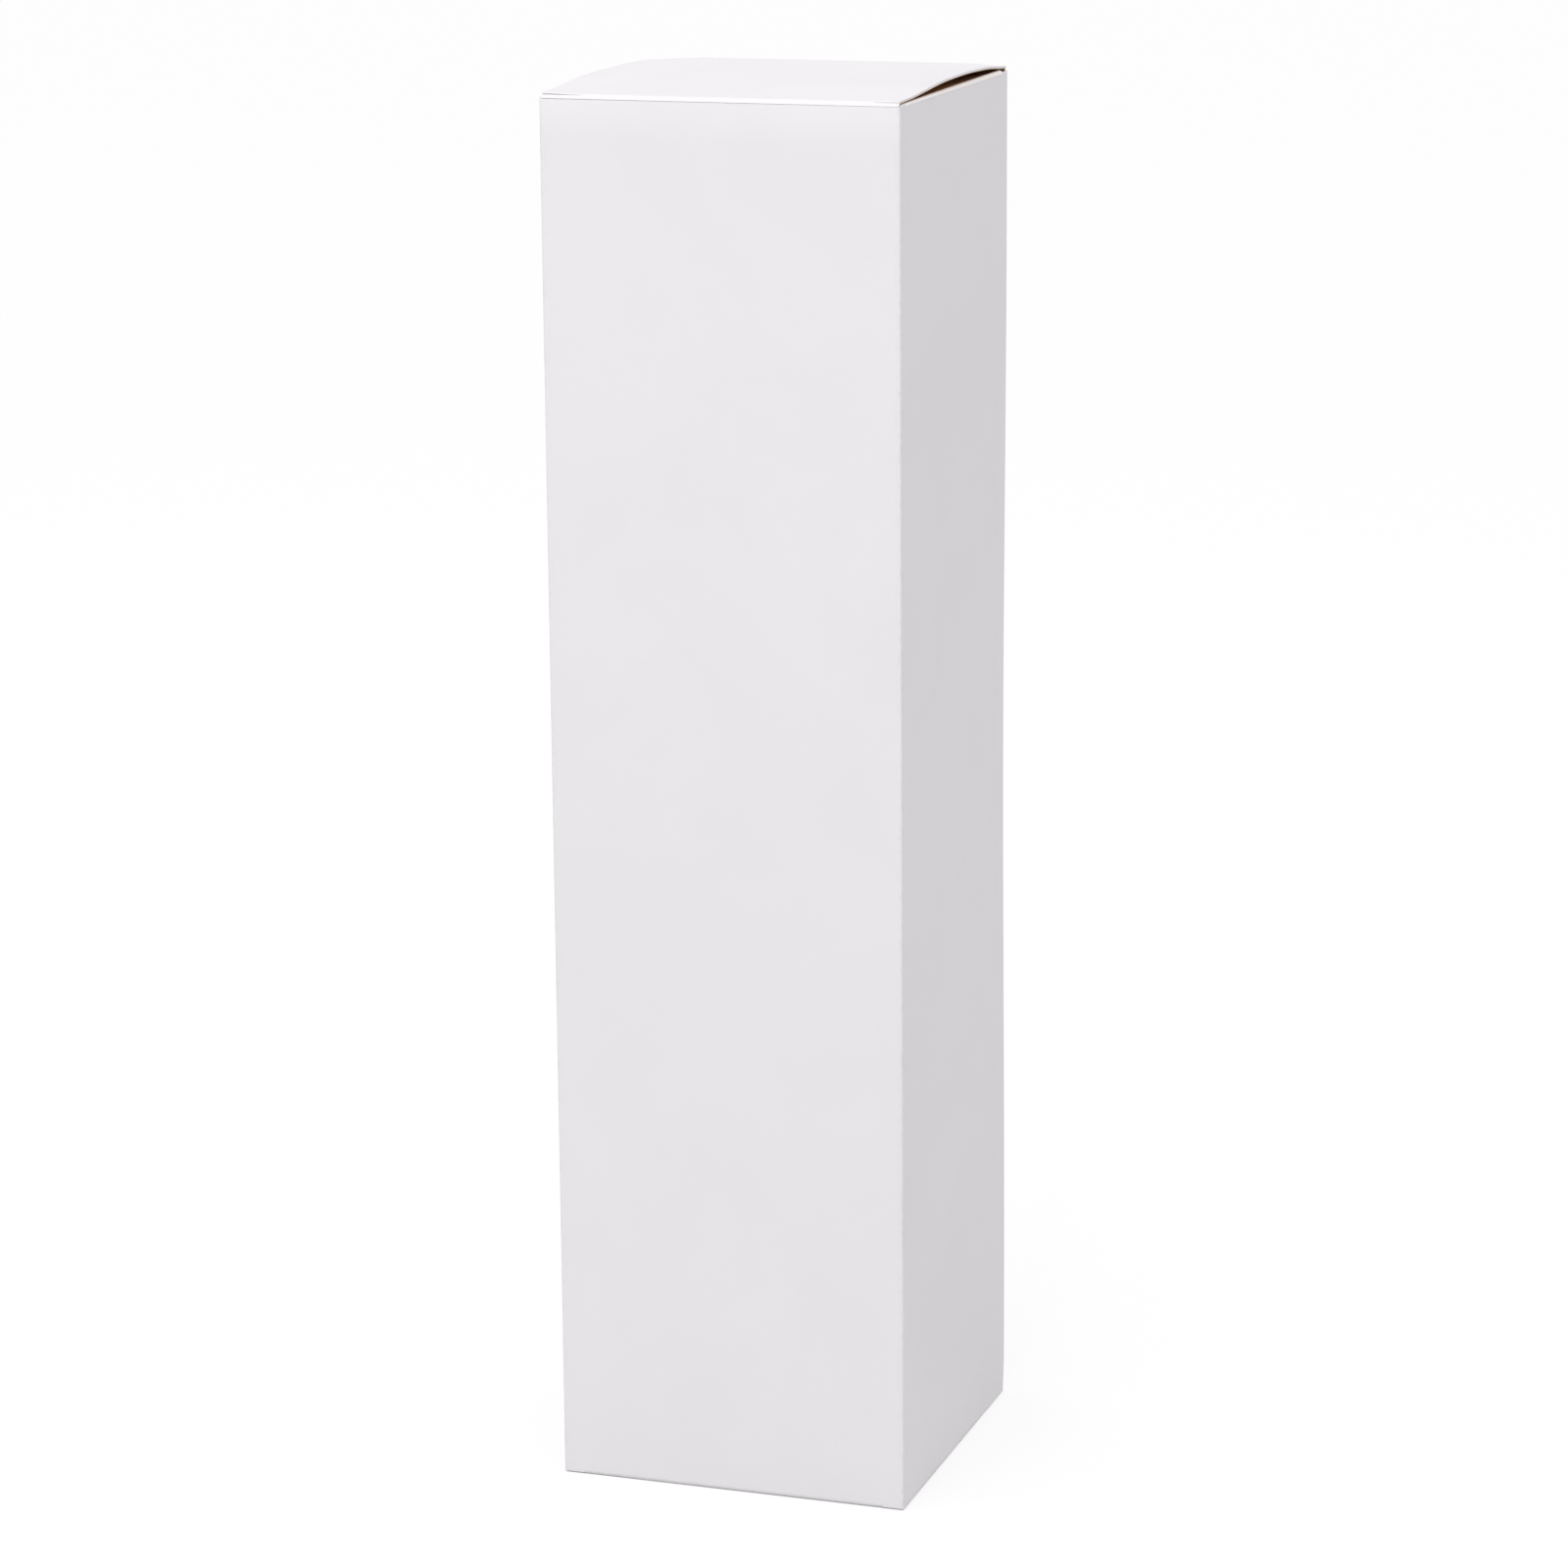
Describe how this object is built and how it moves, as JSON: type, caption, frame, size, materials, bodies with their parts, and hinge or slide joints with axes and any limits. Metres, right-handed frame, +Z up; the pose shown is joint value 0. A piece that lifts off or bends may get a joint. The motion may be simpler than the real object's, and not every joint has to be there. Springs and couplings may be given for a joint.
{
  "type": "wine bottle carton",
  "caption": "Tall plain white folding carton for one wine bottle, with a tuck-in lid, dust flaps under it, a glued back seam and a snap-lock bottom.",
  "frame": {"origin": "on the surface the carton stands on, under the middle of its outer box", "axes": "+Z up along the carton, front panel faces -Y, right panel faces +X, lid crease at the back"},
  "size_m": [0.0888, 0.0888, 0.3461],
  "materials": {
    "coated_board": "white clay-coated outside, cut edges and inside brown kraft"
  },
  "bodies": {
    "carton": {"front_panel": "coated_board", "right_panel": "coated_board", "back_panel": "coated_board", "left_panel": "coated_board", "glue_flap": "coated_board", "bottom_flap_front": "coated_board", "bottom_flap_right": "coated_board", "bottom_flap_left": "coated_board", "bottom_flap_back": "coated_board"},
    "lid": {"lid_panel": "coated_board"},
    "tuck": {"tuck_flap": "coated_board"},
    "dust_right": {"dust_flap_right": "coated_board"},
    "dust_left": {"dust_flap_left": "coated_board"}
  },
  "joints": [
    {"name": "lid_hinge", "type": "hinge", "parent": "carton", "child": "lid", "pos_m": [0, 0.04415, 0.3442], "axis": [-1, 0, 0], "range_deg": [0, 210]},
    {"name": "tuck_hinge", "type": "hinge", "parent": "lid", "child": "tuck", "pos_m": [0, -0.04325, 0.3423], "axis": [1, 0, 0], "range_deg": [0, 60]},
    {"name": "dust_right_hinge", "type": "hinge", "parent": "carton", "child": "dust_right", "pos_m": [0.04415, 0, 0.3426], "axis": [0, 1, 0], "range_deg": [0, 105]},
    {"name": "dust_left_hinge", "type": "hinge", "parent": "carton", "child": "dust_left", "pos_m": [-0.04415, 0, 0.3426], "axis": [0, -1, 0], "range_deg": [0, 105]}
  ],
  "couplings": [
    {"joint": "dust_right_hinge", "follows": "lid_hinge", "ratio": 0.5},
    {"joint": "dust_left_hinge", "follows": "lid_hinge", "ratio": 0.5}
  ]
}
